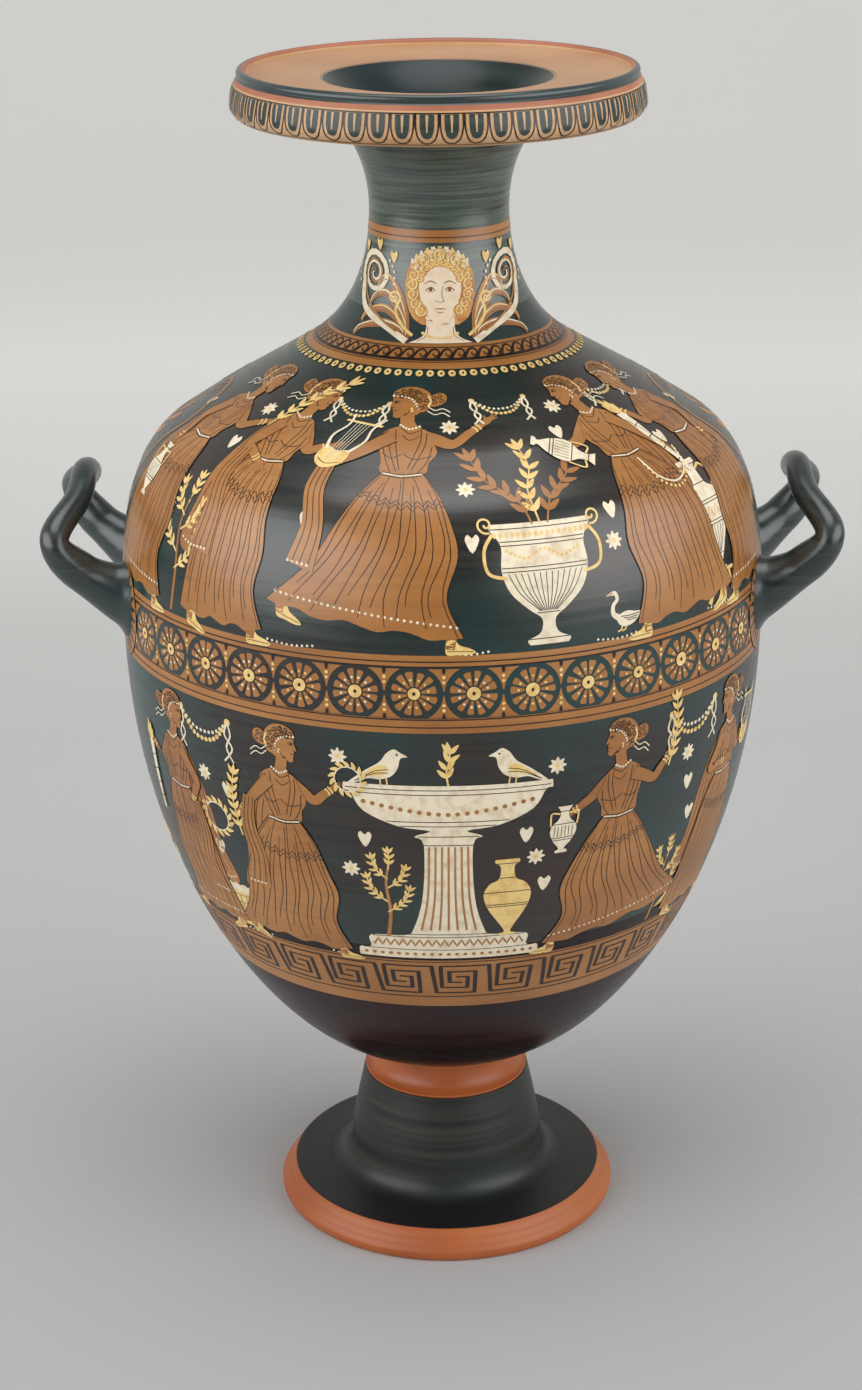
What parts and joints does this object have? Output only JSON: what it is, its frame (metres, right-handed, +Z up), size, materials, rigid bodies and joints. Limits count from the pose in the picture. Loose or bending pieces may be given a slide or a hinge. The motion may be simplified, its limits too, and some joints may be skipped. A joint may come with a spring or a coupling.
{
  "type": "hydria",
  "caption": "Tall water jar in painted fired clay with a disc foot, full belly, narrow neck, overhanging lip and three coil handles.",
  "frame": {"origin": "on the jar's axis, on the surface that the foot stands on", "axes": "+Z up the jar's axis, +X towards one side handle, +Y towards the upright back handle, so the painted front faces -Y"},
  "size_m": [0.5086, 0.418, 0.78],
  "materials": {
    "foot_clay": "matt fired clay with wheel lines",
    "black_gloss": "glossy black slip with green and brown streaks",
    "painted_wall": "glossy black slip with figures left in clay colour",
    "plate_clay": "pale smoothed clay",
    "lip_paint": "clay with a painted egg pattern",
    "handle_gloss": "glossy green-black slip"
  },
  "bodies": {
    "root": {"foot_disc": "foot_clay", "foot_stem": "black_gloss", "foot_collar": "foot_clay", "body_bowl": "black_gloss", "body_belly": "painted_wall", "body_shoulder": "painted_wall", "neck": "painted_wall", "mouth_plate": "plate_clay", "lip_ring": "lip_paint", "side_handle_left": "handle_gloss", "side_handle_right": "handle_gloss", "back_handle": "handle_gloss"}
  },
  "joints": []
}
